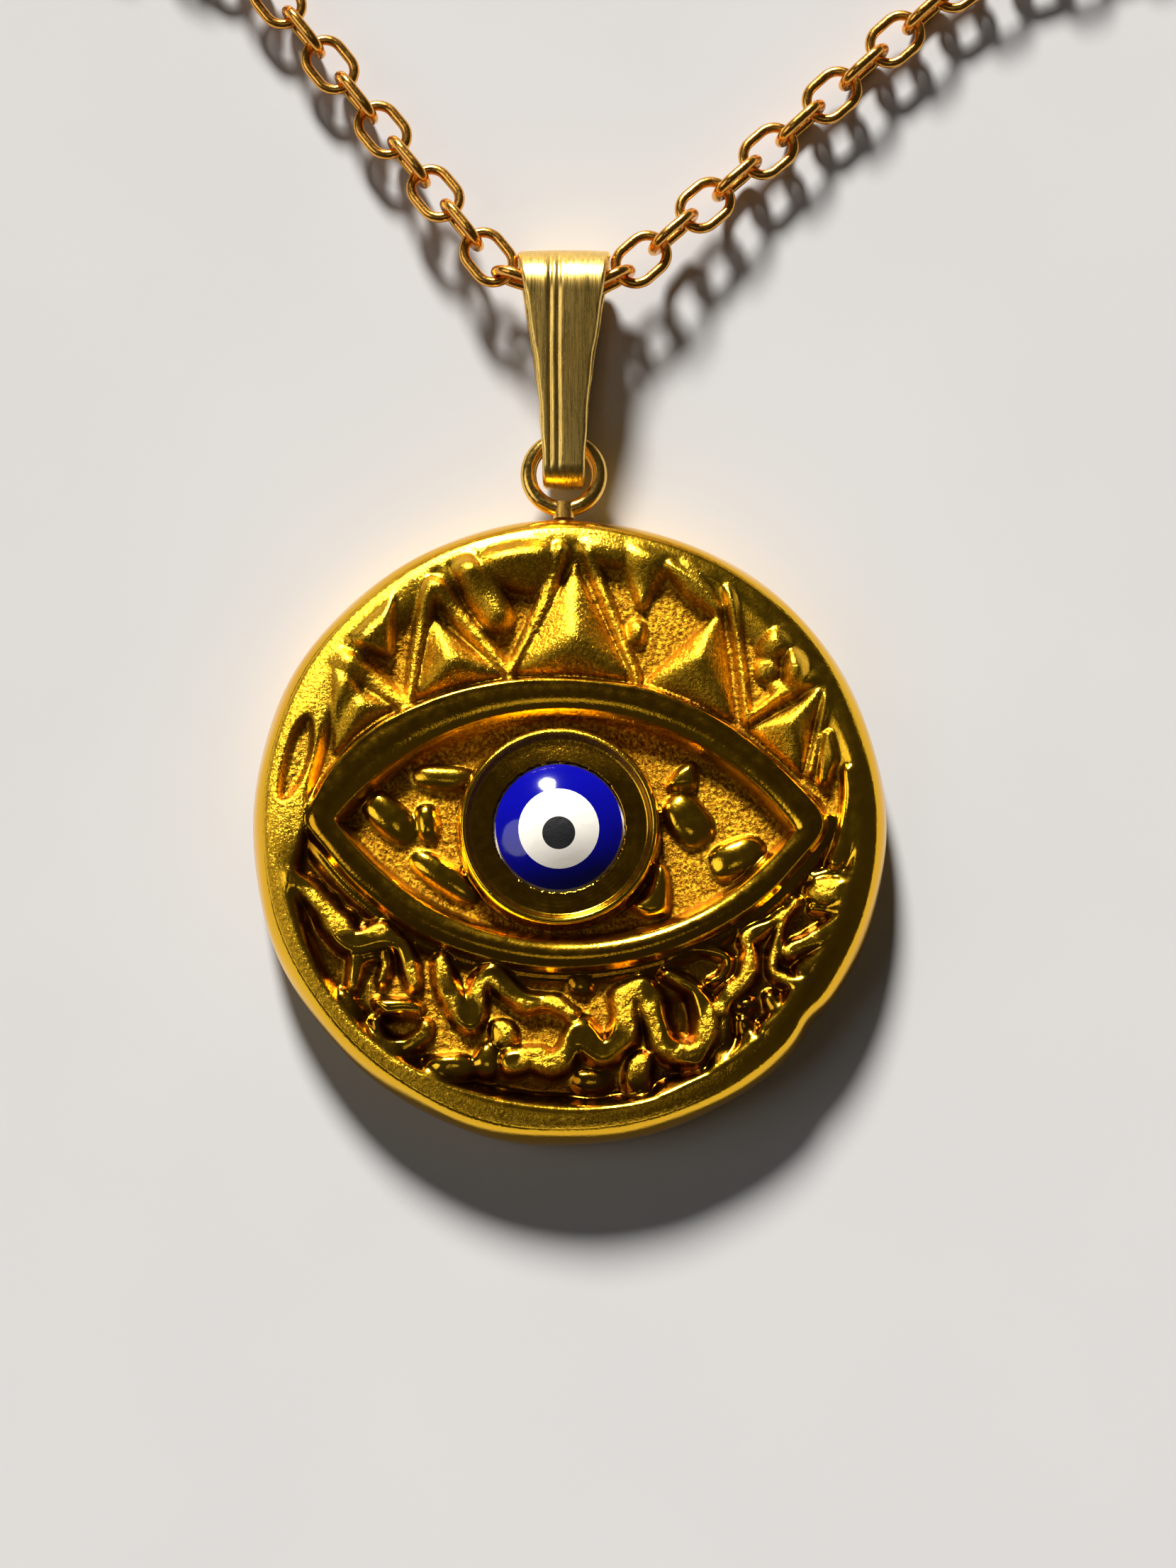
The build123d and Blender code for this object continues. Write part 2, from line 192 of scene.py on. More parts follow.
def glass(name, light, dark, rough, pitted=False):
    """Opaque glass, fire-polished under a clear gloss or finely pitted."""
    n = Nodes(name)
    cloud = n.noise(900, 3, 0.6)
    colour = n.mix(cloud, light, dark)
    surface = n.noise(5200 if pitted else 1400, 3, 0.6)
    normal = n.bump(surface, 0.00003, 0.5 if pitted else 0.25)
    n.surface(Base_Color=colour, Roughness=rough, Normal=normal)
    n.shader.inputs["Coat Weight"].default_value = 0.1 if pitted else 0.5
    n.shader.inputs["Coat Roughness"].default_value = 0.04
    n.shader.inputs["IOR"].default_value = 1.52
    return n.material


def cement():
    """Pale cement with small lumps."""
    n = Nodes("cement")
    lumps = n.noise(4000, 3, 0.6)
    colour = n.mix(lumps, (0.72, 0.66, 0.55, 1), (0.50, 0.43, 0.32, 1))
    normal = n.bump(lumps, 0.00004, 0.6)
    return n.surface(Base_Color=colour, Roughness=0.7, Normal=normal)


def spring_steel():
    """Drawn steel wire."""
    n = Nodes("spring_steel")
    drawn = n.noise(8000, 2, 0.6)
    rough = n.span(drawn, 0.3, 0.7, 0.2, 0.4)
    colour = n.mix(drawn, (0.55, 0.55, 0.57, 1), (0.42, 0.42, 0.44, 1))
    return n.surface(Base_Color=colour, Metallic=1.0, Roughness=rough)


# ---------------------------------------------------------------- relief
# The face is worked out on a square grid, in millimetres from the disc's centre.
GRID = 0.025
REACH = 13.0
axis_values = np.arange(-REACH, REACH + GRID / 2, GRID)
GX, GY = np.meshgrid(axis_values, axis_values)
FLOOR_Z = 2.15
FIELD_Z = 2.3
IRIS = (-0.38, -0.14)
FACE_SCALE = 1.02  # the shapes below are drawn this much larger than they are made
LUMP_POWER = 2.6  # 2 is an ellipse, and more is squarer
WOBBLE = 0.28  # how much a level ridge's width varies along it
RAY_SHARPNESS = 5.0
RAY_FOOT = 0.16


def smooth_step(t):
    """Eases from 0 to 1 as t does, with a level start and end."""
    t = np.clip(t, 0.0, 1.0)
    return t * t * (3 - 2 * t)


def soft_noise(scale, seed):
    """Smooth noise over the grid, about -1 to 1, with lumps of a size in millimetres."""
    rng = np.random.default_rng(seed)
    cells = int(2 * REACH / scale) + 4
    values = rng.uniform(-1, 1, (cells, cells))
    u = (GX + REACH) / scale
    v = (GY + REACH) / scale
    i = u.astype(int)
    j = v.astype(int)
    a = smooth_step(u - i)
    b = smooth_step(v - j)
    low = values[j, i] * (1 - a) + values[j, i + 1] * a
    high = values[j + 1, i] * (1 - a) + values[j + 1, i + 1] * a
    return low * (1 - b) + high * b


def blur(values, radius):
    """A Gaussian blur of a radius in millimetres."""
    reach = max(1, int(3 * radius / GRID))
    k = np.exp(-0.5 * (np.arange(-reach, reach + 1) * GRID / radius) ** 2)
    k /= k.sum()
    out = np.zeros_like(values)
    padded = np.pad(values, reach, mode="edge")
    for i, w in enumerate(k):
        out += w * padded[i : i + values.shape[0], reach:-reach]
    padded = np.pad(out, reach, mode="edge")
    out = np.zeros_like(values)
    for i, w in enumerate(k):
        out += w * padded[reach:-reach, i : i + values.shape[1]]
    return out


def curve_through(points, closed=False, steps=8):
    """A smooth curve through given points."""
    p = np.array(points, float)
    if closed:
        p = np.vstack([p[-1], p, p[0], p[1]])
    else:
        p = np.vstack([2 * p[0] - p[1], p, 2 * p[-1] - p[-2]])
    out = []
    for i in range(1, len(p) - 2):
        for t in np.arange(steps) / steps:
            a, b, c, d = p[i - 1 : i + 3]
            q = 2 * b + (c - a) * t + (2 * a - 5 * b + 4 * c - d) * t**2
            out.append(0.5 * (q + (3 * b - a - 3 * c + d) * t**3))
    if not closed:
        out.append(p[-2])
    return np.array(out)


def patch(points, margin):
    """The part of the grid near some points."""
    p = np.asarray(points)
    low = np.clip(((p.min(axis=0) - margin + REACH) / GRID).astype(int), 0, len(axis_values) - 1)
    high = np.clip(((p.max(axis=0) + margin + REACH) / GRID).astype(int) + 2, 1, len(axis_values))
    return slice(low[1], high[1]), slice(low[0], high[0])


def line_distance(x, y, curve):
    """Distance to a polyline, and how far along it the nearest point is, 0 to 1."""
    best = np.full(x.shape, 1e9)
    along = np.zeros(x.shape)
    lengths = np.hypot(*np.diff(curve, axis=0).T)
    total = lengths.sum()
    run = 0.0
    for (ax, ay), (bx, by), length in zip(curve[:-1], curve[1:], lengths):
        if length < 1e-9:
            continue
        t = np.clip(((x - ax) * (bx - ax) + (y - ay) * (by - ay)) / length**2, 0, 1)
        d = np.hypot(x - ax - t * (bx - ax), y - ay - t * (by - ay))
        near = d < best
        best = np.where(near, d, best)
        along = np.where(near, (run + t * length) / total, along)
        run += length
    return best, along


def inside(x, y, curve):
    """Whether each point is inside a closed polyline."""
    odd = np.zeros(x.shape, bool)
    for (ax, ay), (bx, by) in zip(curve, np.roll(curve, -1, axis=0)):
        if ay == by:
            continue
        crosses = (ay > y) != (by > y)
        odd ^= crosses & (x < (bx - ax) * (y - ay) / (by - ay) + ax)
    return odd


class Relief:
    """Heights above a level, built up from lumps, strokes and facets."""

    def __init__(self):
        self.z = np.zeros_like(GX)
        self.wobble = soft_noise(0.8, 31)

    def melt(self, amount):
        """Shifts the shapes a little from place to place, as worn casting does."""
        x = GX + amount * soft_noise(1.1, 32)
        y = GY + amount * soft_noise(1.1, 33)
        self.z = sample(self.z, x, y)

    def raise_to(self, area, height):
        self.z[area] = np.maximum(self.z[area], height)

    def lump(self, x, y, length, width, angle, height):
        """A pebble with a rounded top and steep sides."""
        area = patch([(x, y)], max(length, width))
        dx = GX[area] - x
        dy = GY[area] - y
        c = math.cos(math.radians(angle))
        s = math.sin(math.radians(angle))
        u = np.abs(dx * c + dy * s) / (length / 2)
        v = np.abs(dy * c - dx * s) / (width / 2)
        t = np.clip(1 - (u**LUMP_POWER + v**LUMP_POWER), 0, 1)
        self.raise_to(area, height * t**0.65)

    def stroke(self, points, widths, height, level=False):
        """A ridge along a curve, rounded or level on top; the widths are spread along it."""
        curve = curve_through(points)
        area = patch(curve, max(widths))
        d, along = line_distance(GX[area], GY[area], curve)
        half = np.interp(along, np.linspace(0, 1, len(widths)), widths) / 2
        if level:
            half = half * (1 + WOBBLE * self.wobble[area])
            t = smooth_step(1.5 * (1 - d / half))
        else:
            t = np.clip(1 - (d / half) ** 2.2, 0, 1) ** 0.8
        self.raise_to(area, height * t)

    def plate(self, points, height, shoulder):
        """A raised, flat-topped shape with rounded shoulders."""
        curve = curve_through(points, True)
        area = patch(curve, 0.3)
        x = GX[area]
        y = GY[area]
        d, _ = line_distance(x, y, np.vstack([curve, curve[:1]]))
        d = np.where(inside(x, y, curve), d, 0)
        t = np.clip(d / shoulder, 0, 1)
        self.raise_to(area, height * np.sqrt(1 - (1 - t) ** 2))

    def facets(self, corners, peak, base, height):
        """A pyramid with softened ridges over a triangle, its foot at its own level."""
        area = patch(corners, 0.3)
        x = GX[area]
        y = GY[area]
        planes = []
        for (ax, ay), (bx, by) in zip(corners, corners[1:] + corners[:1]):
            side = (bx - ax) * (y - ay) - (by - ay) * (x - ax)
            at_peak = (bx - ax) * (peak[1] - ay) - (by - ay) * (peak[0] - ax)
            planes.append(side / at_peak)
        lowest = np.min(planes, axis=0)
        soft = -np.log(sum(np.exp(-RAY_SHARPNESS * (t - lowest)) for t in planes)) / RAY_SHARPNESS + lowest
        over = lowest > 0
        z = base + height * np.clip(soft + 0.12, 0, 1) ** 0.92
        self.z[area] = np.where(over, z, self.z[area])

    def dent(self, points, depth, shoulder):
        """A hollow inside a closed curve."""
        curve = curve_through(points, True)
        area = patch(curve, 0.3)
        x = GX[area]
        y = GY[area]
        d, _ = line_distance(x, y, np.vstack([curve, curve[:1]]))
        d = np.where(inside(x, y, curve), d, 0)
        self.z[area] -= depth * smooth_step(d / shoulder)


# ---------------------------------------------------------------- the medallion's shapes, in millimetres
# Each ray: the corners of its pyramid (apex, base left, base right), its peak and its height.
RAYS = (
    (((-9.4, 6.45), (-9.45, 2.8), (-6.8, 4.7)), (-8.25, 4.75), 0.80),
    (((-5.5, 8.55), (-6.1, 5.2), (-2.5, 6.05)), (-4.7, 6.6), 0.90),
    (((0.25, 10.7), (-2.2, 6.2), (2.5, 5.9)), (0.15, 7.5), 1.00),
    (((6.1, 8.8), (2.9, 5.7), (6.65, 4.25)), (5.2, 6.75), 0.95),
    (((10.1, 5.5), (7.25, 3.9), (9.35, 2.0)), (8.95, 4.15), 0.80),
)
# Rounded ridges: points, widths along them, height.
RAY_BANDS = (
    (((-9.6, 7.0), (-8.2, 6.1), (-6.65, 4.85)), (0.8, 1.15, 0.9), 0.55),
    (((-6.4, 4.95), (-6.05, 7.3), (-5.5, 9.7)), (0.55, 0.75, 0.8), 0.50),
    (((-5.25, 9.6), (-3.95, 8.0), (-2.4, 6.15)), (0.8, 0.85, 0.7), 0.50),
    (((-2.3, 6.25), (-1.15, 8.6), (-0.35, 11.1)), (0.6, 0.85, 0.8), 0.50),
    (((0.8, 11.0), (1.75, 8.5), (2.75, 5.9)), (0.7, 0.65, 0.55), 0.42),
    (((6.45, 9.5), (6.85, 7.0), (7.15, 4.3)), (0.6, 0.5, 0.5), 0.50),
    (((7.2, 4.35), (8.8, 5.5), (10.3, 6.1)), (0.4, 0.6, 0.6), 0.40),
    (((10.5, 5.7), (10.05, 3.9), (9.65, 2.1)), (0.5, 0.45, 0.4), 0.40),
)
UPPER_RIDGES = (
    (((-4.65, 11.1), (-3.8, 10.0), (-3.2, 9.1), (-2.9, 8.55)), (0.7, 1.0, 1.45, 1.3), 0.85),
    (((3.1, 10.9), (3.0, 10.0), (2.95, 9.1)), (1.7, 1.2, 0.5), 0.50),
    (((4.1, 10.5), (5.0, 9.7), (5.95, 8.75)), (0.5, 1.0, 0.45), 0.50),
    (((6.9, 10.0), (8.2, 8.9), (9.6, 7.5), (10.8, 5.6)), (0.4, 0.5, 0.55, 0.4), 0.35),
)
RIGHT_RIDGES = (
    (((11.2, 2.1), (11.35, 0.9), (11.1, -0.4), (10.6, -1.5)), (0.5, 0.85, 0.9, 0.6), 0.70),
    (((10.35, 3.6), (10.35, 2.7), (10.2, 1.9)), (0.4, 0.7, 0.45), 0.60),
    (((9.7, -2.1), (10.5, -1.95), (11.3, -2.1)), (0.3, 0.4, 0.3), 0.35),
    (((9.6, -3.4), (10.5, -3.45), (11.4, -3.3)), (0.3, 0.4, 0.3), 0.40),
    (((7.0, -4.6), (7.6, -4.1), (8.4, -3.6)), (0.6, 0.65, 0.45), 0.60),
    (((7.15, -4.9), (7.15, -5.7), (6.9, -6.3), (6.2, -6.95), (5.95, -7.5)), (0.4, 0.7, 0.9, 0.7), 0.70),
    (((4.0, -5.4), (5.3, -4.95), (6.3, -5.3), (6.1, -6.0), (5.5, -6.4)), (0.4, 0.5, 0.45), 0.40),
    (((8.95, -3.2), (8.4, -4.0), (8.15, -5.0), (8.0, -5.95), (8.6, -6.2), (9.2, -6.3)),
     (0.4, 0.5, 0.5), 0.60),
    (((8.75, -5.2), (9.7, -4.75), (10.7, -4.0)), (0.6, 0.9, 0.6), 0.65),
    (((9.2, -5.8), (10.0, -5.4), (10.7, -4.9)), (0.4, 0.5, 0.4), 0.50),
    (((9.1, -6.5), (8.7, -7.5), (7.7, -8.25)), (0.6, 0.8, 0.6), 0.55),
    (((6.2, -7.9), (6.05, -8.8), (5.95, -9.9)), (0.5, 0.6, 0.5), 0.50),
    (((6.9, -8.1), (6.9, -8.8), (6.5, -9.6)), (0.6, 0.7, 0.5), 0.40),
    (((3.8, -10.65), (4.8, -10.35), (6.0, -10.15)), (0.4, 0.6, 0.4), 0.35),
)
LOWER_RIDGES = (
    # left: a stepped ridge that turns down, and its two legs
    (((-11.0, -2.3), (-9.9, -3.1), (-9.2, -4.0), (-8.5, -4.6), (-7.4, -4.5), (-6.75, -4.85), (-6.4, -5.6),
      (-6.1, -6.4)), (0.8, 1.0, 1.1, 1.0, 0.8, 0.6), 0.80),
    (((-8.45, -4.8), (-8.45, -6.4)), (0.6, 0.5), 0.55),
    (((-7.35, -4.9), (-7.3, -5.6), (-7.35, -6.2)), (0.5, 0.55, 0.4), 0.55),
    # the wall round the bowl
    (((-7.75, -7.8), (-7.35, -8.7), (-6.4, -8.95), (-5.7, -8.3)), (0.4, 0.5, 0.5), 0.45),
    # the wavy ridge left of the middle
    (((-5.15, -5.6), (-4.9, -6.4), (-4.4, -7.3), (-4.0, -7.95), (-3.7, -7.1), (-3.45, -6.45), (-2.9, -6.15),
      (-2.35, -6.65), (-1.5, -7.05), (-0.6, -7.2), (0.1, -7.7)), (0.8, 0.95, 0.9, 0.8, 0.8, 0.5), 0.70),
    # the long squiggle across the bottom
    (((-2.3, -9.5), (-1.3, -9.4), (-0.75, -9.75), (-0.2, -9.4), (0.25, -8.45), (0.75, -8.65), (1.35, -9.1),
      (1.9, -8.8), (2.25, -7.9), (2.25, -6.95), (2.8, -6.6), (3.35, -7.05), (3.45, -8.0), (3.7, -8.75),
      (4.5, -9.15), (5.2, -9.1), (5.45, -8.3), (5.2, -7.2), (4.75, -6.5), (3.95, -6.1)),
     (0.8, 0.9, 0.95, 1.0, 0.95, 0.9, 0.85, 0.7, 0.5), 0.85),
)
# Pebbles: x, y, length, width, angle, height.
UPPER_LUMPS = (
    (-2.05, 10.6, 2.9, 1.9, -8, 0.75),
    (2.75, 7.85, 0.7, 0.9, 0, 0.50),
    (9.1, 6.35, 0.85, 1.5, -12, 0.85),
    (8.35, 7.35, 1.5, 0.9, 40, 0.55),
    (7.95, 6.3, 0.9, 0.9, 15, 0.45),
    (8.6, 5.5, 1.1, 0.6, -20, 0.40),
    (5.4, 10.5, 1.6, 0.8, -30, 0.45),
    (1.5, 11.1, 2.0, 0.9, -12, 0.35),
    (-8.9, 8.4, 1.6, 0.9, 50, 0.40),
)
RIGHT_LUMPS = (
    (10.45, -2.7, 2.0, 1.15, 5, 0.65),
    (7.95, -7.2, 0.65, 0.85, 10, 0.45),
    (6.95, -7.35, 0.8, 0.6, 30, 0.35),
    (9.9, 0.3, 0.6, 1.6, 8, 0.35),
)
LOWER_LUMPS = (
    (-7.95, -5.2, 1.0, 0.55, 5, 0.55),
    (-5.7, -8.0, 0.65, 0.55, 0, 0.60),
    (-8.6, -7.1, 0.7, 1.3, 30, 0.45),
    (-2.7, -8.45, 1.1, 1.3, 0, 0.65),
    (-4.65, -9.65, 1.8, 0.95, -5, 0.75),
    (-3.25, -9.45, 1.1, 1.1, -20, 0.60),
    (2.9, -9.9, 1.05, 1.6, -12, 0.60),
    (0.5, -6.4, 1.0, 0.95, 0, 0.45),
    (0.9, -10.25, 1.5, 0.9, 10, 0.35),
)
FLOOR_LUMPS = (
    (-7.15, 0.35, 2.2, 1.25, -42, 0.60),
    (-5.65, 0.15, 1.4, 0.85, 98, 0.55),
    (-4.95, 1.95, 2.3, 0.9, -3, 0.55),
    (-4.9, -2.05, 2.8, 1.05, -33, 0.55),
    (4.75, 0.25, 2.0, 1.5, -50, 0.60),
    (6.75, -1.3, 2.1, 1.4, 22, 0.60),
)
# Flat-topped shapes: corners, height.
UPPER_PLATES = (
    (((-9.2, 7.9), (-8.6, 7.35), (-7.15, 6.85), (-7.05, 8.2), (-7.0, 9.8), (-8.0, 9.3)), 0.65),
)
LOWER_PLATES = (
    (((-7.85, -6.95), (-6.9, -6.85), (-5.85, -7.15), (-5.85, -7.65), (-6.8, -7.7), (-7.5, -7.6)), 0.75),
)
FLOOR_WEDGES = (
    (((3.9, 1.5), (5.1, 1.55), (5.0, 2.55), (4.3, 2.3)), 0.55),
    (((2.4, -3.3), (3.1, -2.7), (3.5, -1.5), (4.0, -1.9), (4.0, -3.4), (3.2, -3.8)), 0.80),
)
PITS = (
    ((-5.9, 10.35), (-5.4, 10.7), (-5.05, 10.3), (-5.4, 9.95)),
    ((3.9, -7.1), (4.6, -6.8), (5.0, -7.7), (4.9, -8.6), (4.3, -8.6), (3.95, -8.0)),
    ((-7.6, -7.75), (-5.85, -7.75), (-6.2, -8.5), (-7.1, -8.6)),
    ((-7.1, -4.95), (-6.7, -5.1), (-6.6, -6.0), (-7.0, -6.2)),
)
# The leaf pressed into the rim.
LEAF = ((-10.35, 4.5), (-11.05, 3.9), (-11.55, 2.2), (-11.6, 1.0), (-11.0, 1.1), (-10.3, 2.4), (-10.1, 3.6))
LEAF_DEPTH, LEAF_SHOULDER = 0.42, 0.3
PLATE_SHOULDER, WEDGE_SHOULDER, PIT_DEPTH = 0.4, 0.35, 0.25
# Worn and plated over, the shapes are broader and lower than they were cut.
WIDEN, LEVEL_WIDEN = 1.22, 1.6
UPPER_LOWER, LOWER = 0.95, 0.85
MELT = 0.16  # how far worn shapes wander
LEFT_RIM_WIDER = 0.9
ALMOND_OUTER = (
    (-10.55, 0.05), (-10.15, 1.3), (-9.4, 2.5), (-8.3, 3.65), (-7.0, 4.5), (-4.7, 5.45), (-2.3, 5.93),
    (0.0, 6.0), (2.3, 5.75), (4.0, 5.3), (6.4, 4.1), (8.9, 2.0), (10.3, 0.05), (9.0, -1.9), (7.6, -3.3),
    (5.5, -4.6), (3.0, -5.55), (0.0, -5.95), (-3.0, -5.6), (-6.0, -4.5), (-8.3, -2.75), (-9.7, -1.2),
)
ALMOND_INNER = (((-9.2, 0.2), (0.0, 4.5), (8.95, -0.25)), ((8.95, -0.25), (0.0, -4.65), (-9.2, 0.2)))
IRIS_OUTER, IRIS_CREST, IRIS_INNER = 4.0, 3.72, 3.45
BEAD_R, SEAT_R, SEAT_Z = 2.48, 2.55, 2.05
DISC_R, RIM_IN_R, CHANNEL_R = 12.5, 11.2, 10.75
RIM_Z, RIDGE_Z, IRIS_Z, DISH_Z = 2.95, 3.2, 3.3, 2.95
FOOT_Z, RIDGE_SIDE_Z = FIELD_Z + 0.38, FIELD_Z + 0.42
CAST_BLUR, SAND_BLUR, HOLLOW_BLUR, SHADE_BLUR = 0.075, 0.06, 0.55, 0.05
STIPPLE_HEIGHT = 0.026


def arc_through(a, b, c, steps=48):
    """Points on the circle through three points, from the first to the last."""
    a, b, c = (complex(*p) for p in (a, b, c))
    w = (c - a) / (b - a)
    centre = a + (b - a) * (w - abs(w) ** 2) / (w - w.conjugate())
    start = cmath.phase(a - centre)
    turn = cmath.phase(c - centre) - start
    turn %= 2 * math.pi
    if ((b - a).conjugate() * (c - b)).imag < 0:
        turn -= 2 * math.pi
    angles = start + turn * np.linspace(0, 1, steps)
    ring = centre + abs(a - centre) * np.exp(1j * angles)
    return np.column_stack([ring.real, ring.imag])


def outline(arcs):
    """A closed outline made of arcs."""
    return np.vstack([arc_through(*arc)[:-1] for arc in arcs])


def signed_distance(curve):
    """Distance to a closed curve over the whole grid, positive inside."""
    d, _ = line_distance(GX, GY, np.vstack([curve, curve[:1]]))
    return np.where(inside(GX, GY, curve), d, -d)


def edge_radius(angle):
    """The medallion's slightly uneven outline."""
    r = DISC_R - 0.04
    r = r + 0.035 * np.sin(3 * angle + 0.6) + 0.03 * np.sin(7 * angle + 2.0) + 0.015 * np.sin(13 * angle)
    step = np.exp(-((np.degrees(angle) + 39.0) / 3.5) ** 2)
    return r - 0.16 * step


# Noise over the face, coarse to fine.
BROAD = soft_noise(2.6, 11)
FINE = soft_noise(0.9, 12)
PATCHES = soft_noise(0.9, 34)
STIPPLE = soft_noise(0.17, 21) + 0.9 * soft_noise(0.11, 22)
RADIUS = np.hypot(GX, GY) / FACE_SCALE
ANGLE = np.arctan2(GY, GX)
# How far a point is in the lower field, and in the broad left side of the rim, 0 to 1.
BELOW = smooth_step((-GY - 1.0) / 1.5)
LEFT = smooth_step((np.cos(ANGLE - 2.85) - 0.86) / 0.12)


def field_relief():
    """The shapes round the eye: their height, and where the rays' bands run."""
    relief = Relief()
    for points, widths, height in RAY_BANDS:
        relief.stroke(points, widths, height)
    bands = relief.z > 0.2
    for corners, peak, height in RAYS:
        relief.facets(list(corners), peak, RAY_FOOT, height)
    for ridges, lumps, share, wider, level in (
        (UPPER_RIDGES, UPPER_LUMPS, UPPER_LOWER, WIDEN, False),
        (RIGHT_RIDGES + LOWER_RIDGES, RIGHT_LUMPS + LOWER_LUMPS, LOWER, LEVEL_WIDEN, True),
    ):
        for points, widths, height in ridges:
            relief.stroke(points, [wider * w for w in widths], share * height, level)
        for x, y, length, width, turn, height in lumps:
            relief.lump(x, y, WIDEN * length, WIDEN * width, turn, share * height)
    for corners, height in UPPER_PLATES + LOWER_PLATES:
        relief.plate(corners, height, PLATE_SHOULDER)
    relief.melt(MELT * BELOW)
    for corners in PITS:
        relief.dent(corners, PIT_DEPTH, PIT_DEPTH)
    return relief.z, bands


def field_and_rim():
    """The ground, its shapes and the rim: heights, sand, the upper half's frost, and the rim's rise."""
    relief, bands = field_relief()
    ground = FIELD_Z + 0.10 * (1 - (RADIUS / DISC_R) ** 2) + 0.03 * BROAD + 0.02 * FINE
    # the rim is a smooth, wavy band; it swells gently out of the upper field and steps up from the lower
    upper = smooth_step((np.sin(ANGLE) + 0.15) / 0.7)
    inner = RIM_IN_R + 0.15 * np.sin(2 * ANGLE + 0.4) + 0.14 * np.sin(5 * ANGLE + 1.0) + 0.10 * BROAD
    inner = inner - LEFT_RIM_WIDER * LEFT
    reach = (0.7 + 0.9 * upper) * (1 - 0.5 * LEFT)
    rim = RIM_Z + 0.05 * np.sin(4 * ANGLE + 1.2) + 0.05 * BROAD
    rim = rim - 0.22 * np.clip((RADIUS - 11.0) / 0.9, 0, 1.3) ** 2
    rise = smooth_step((RADIUS - inner + reach - 0.15) / reach)
    channel = np.exp(-(((RADIUS - CHANNEL_R) / 0.45) ** 2)) * smooth_step((-np.sin(ANGLE) - 0.55) / 0.3)
    base = ground * (1 - rise) + rim * rise - 0.12 * channel
    fade = 1 - smooth_step((RADIUS - 10.7) / 1.0)
    z = base + relief * fade * (1 - rise * (0.8 - 0.6 * upper))
    # sand lies on the level ground, on the bands, and in patches on the lower crests
    flat = np.clip(1 - relief / 0.12, 0, 1)
    centre_low = np.exp(-(((GX + 2.2) / 5.6) ** 4) - ((GY + 7.6) / 2.5) ** 4)
    region = np.where(GY > 0, 1.0, 0.2 + 0.8 * centre_low)
    sand = np.maximum(flat * region, 0.7 * bands * (relief < 0.56))
    crest = smooth_step((relief - 0.3) / 0.2) * BELOW * smooth_step((PATCHES + 0.35) / 0.5)
    sand = np.maximum(sand, 0.65 * crest)
    sand = sand * (1 - smooth_step((RADIUS - inner + 0.8 * reach) / (0.6 * reach)))
    sand = sand * (1 - 0.9 * np.clip(1.4 * channel, 0, 1))
    frost = 0.45 * smooth_step((GY - 1.0) / 3.0) * (1 - 0.7 * smooth_step((RADIUS - 10.6) / 0.8))
    return z, sand, frost, rise


def press_leaf(z, sand):
    """Presses the leaf into the left side of the rim."""
    leaf = Relief()
    leaf.dent(LEAF, LEAF_DEPTH, LEAF_SHOULDER)
    in_leaf = smooth_step(-leaf.z / 0.2)
    return z + leaf.z, np.maximum(sand, 0.5 * in_leaf), in_leaf


def raise_almond(z, sand, outer_d, inner_d):
    """A low smooth foot below the almond, then the almond's rounded ridge."""
    foot = smooth_step((outer_d + 0.75) / 0.5) * (GY < 0.5) * smooth_step((GX + 11.4) / 1.5)
    z = np.maximum(z, foot * FOOT_Z + (1 - foot) * np.minimum(z, FIELD_Z))
    sand = sand * (1 - foot)
    across = np.clip(outer_d / np.maximum(outer_d - inner_d, 0.2), 0, 1)
    bulge = np.sqrt(np.clip(1 - (2 * across - 1) ** 2, 0, 1))
    on_ridge = (outer_d > 0) & (inner_d < 0)
    rounder = 0.8 + 0.4 * smooth_step((-GY - 1.5) / 2.5)
    ridge = RIDGE_SIDE_Z + (RIDGE_Z - RIDGE_SIDE_Z) * bulge**rounder
    lip = 0.10 * np.exp(-(((outer_d - 0.16) / 0.13) ** 2)) * smooth_step((GY - 1.2) / 1.5)
    return np.where(on_ridge, ridge + lip, z), np.where(on_ridge, 0, sand), on_ridge, across


def lay_eye_floor(z, sand, inner_d):
    """The eye's sandy floor and its pebbles."""
    eye = Relief()
    for x, y, length, width, turn, height in FLOOR_LUMPS:
        eye.lump(x, y, WIDEN * length, WIDEN * width, turn, LOWER * height)
    for corners, height in FLOOR_WEDGES:
        eye.plate(corners, height, WEDGE_SHOULDER)
    in_eye = inner_d > 0
    wall = smooth_step(inner_d / 0.28)
    floor = FLOOR_Z + eye.z + 0.02 * FINE
    z = np.where(in_eye, RIDGE_SIDE_Z * (1 - wall) + floor * wall, z)
    return z, np.where(in_eye, np.clip(1 - eye.z / 0.1, 0, 1) * wall, sand)


def raise_iris(z, sand, r):
    """The iris ring, its dished inside and the seat under the bead."""
    torus = np.sqrt(np.clip(1 - ((r - IRIS_CREST) / (IRIS_OUTER - IRIS_CREST)) ** 2, 0, 1))
    ring = np.where(r > IRIS_CREST, FLOOR_Z + (IRIS_Z - FLOOR_Z) * torus**0.7, IRIS_Z)
    dish = smooth_step((IRIS_CREST - r) / (IRIS_CREST - IRIS_INNER))
    dish_z = DISH_Z + 0.03 * np.clip((r - BEAD_R) / (IRIS_INNER - BEAD_R), 0, 1)
    dish_z = dish_z + 0.005 * np.sin(38 * r) + 0.004 * FINE  # turning marks
    ring = np.where(r <= IRIS_CREST, IRIS_Z * (1 - dish) + dish_z * dish, ring)
    ring = np.where(r < SEAT_R, SEAT_Z, ring)
    z = np.where(r < IRIS_OUTER, np.maximum(ring, np.where(r < SEAT_R, 0, FLOOR_Z)), z)
    return z, np.where(r < IRIS_OUTER + 0.05, 0, sand)


